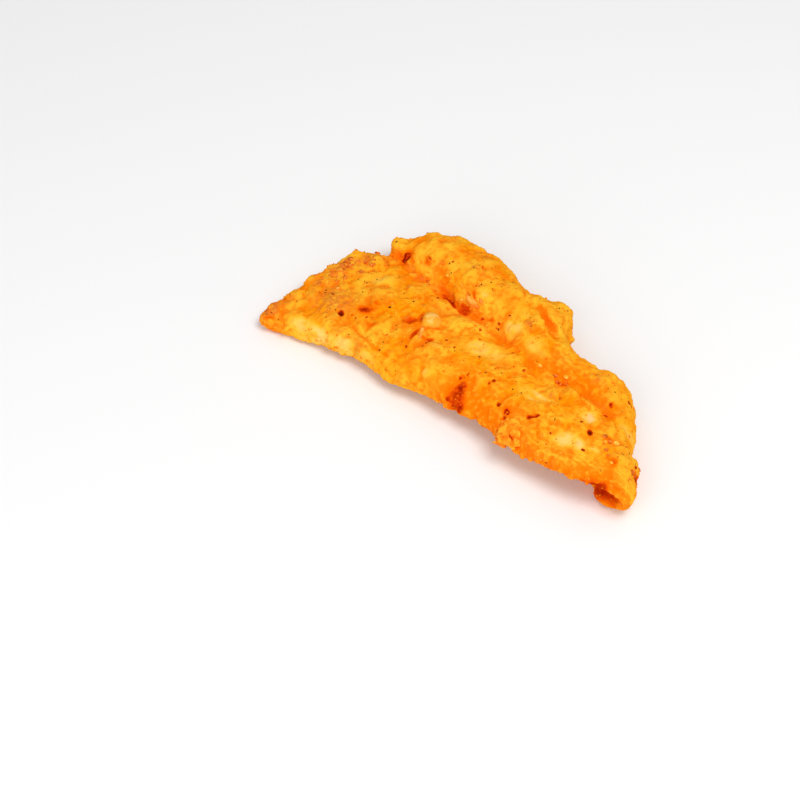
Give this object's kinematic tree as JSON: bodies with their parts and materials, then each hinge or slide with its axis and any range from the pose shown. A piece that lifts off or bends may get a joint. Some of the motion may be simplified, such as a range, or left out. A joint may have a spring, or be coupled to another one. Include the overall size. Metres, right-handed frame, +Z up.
{
  "type": "fried fish fillet",
  "caption": "Fried fish fillet in a thin floured crust: long and flat, with a groove between its belly and back lobes and one tail corner folded under.",
  "frame": {"origin": "on the table, under the middle of the fillet's bounding box", "axes": "+X from the wide head end to the folded tail, +Y from the thin belly side to the thick back, +Z up from the table"},
  "size_m": [0.2002, 0.1, 0.0273],
  "materials": {
    "crust": "matt fried flour crust, golden orange with red-brown patches, paler flour and pepper specks"
  },
  "bodies": {
    "root": {"fillet": "crust"}
  },
  "joints": []
}
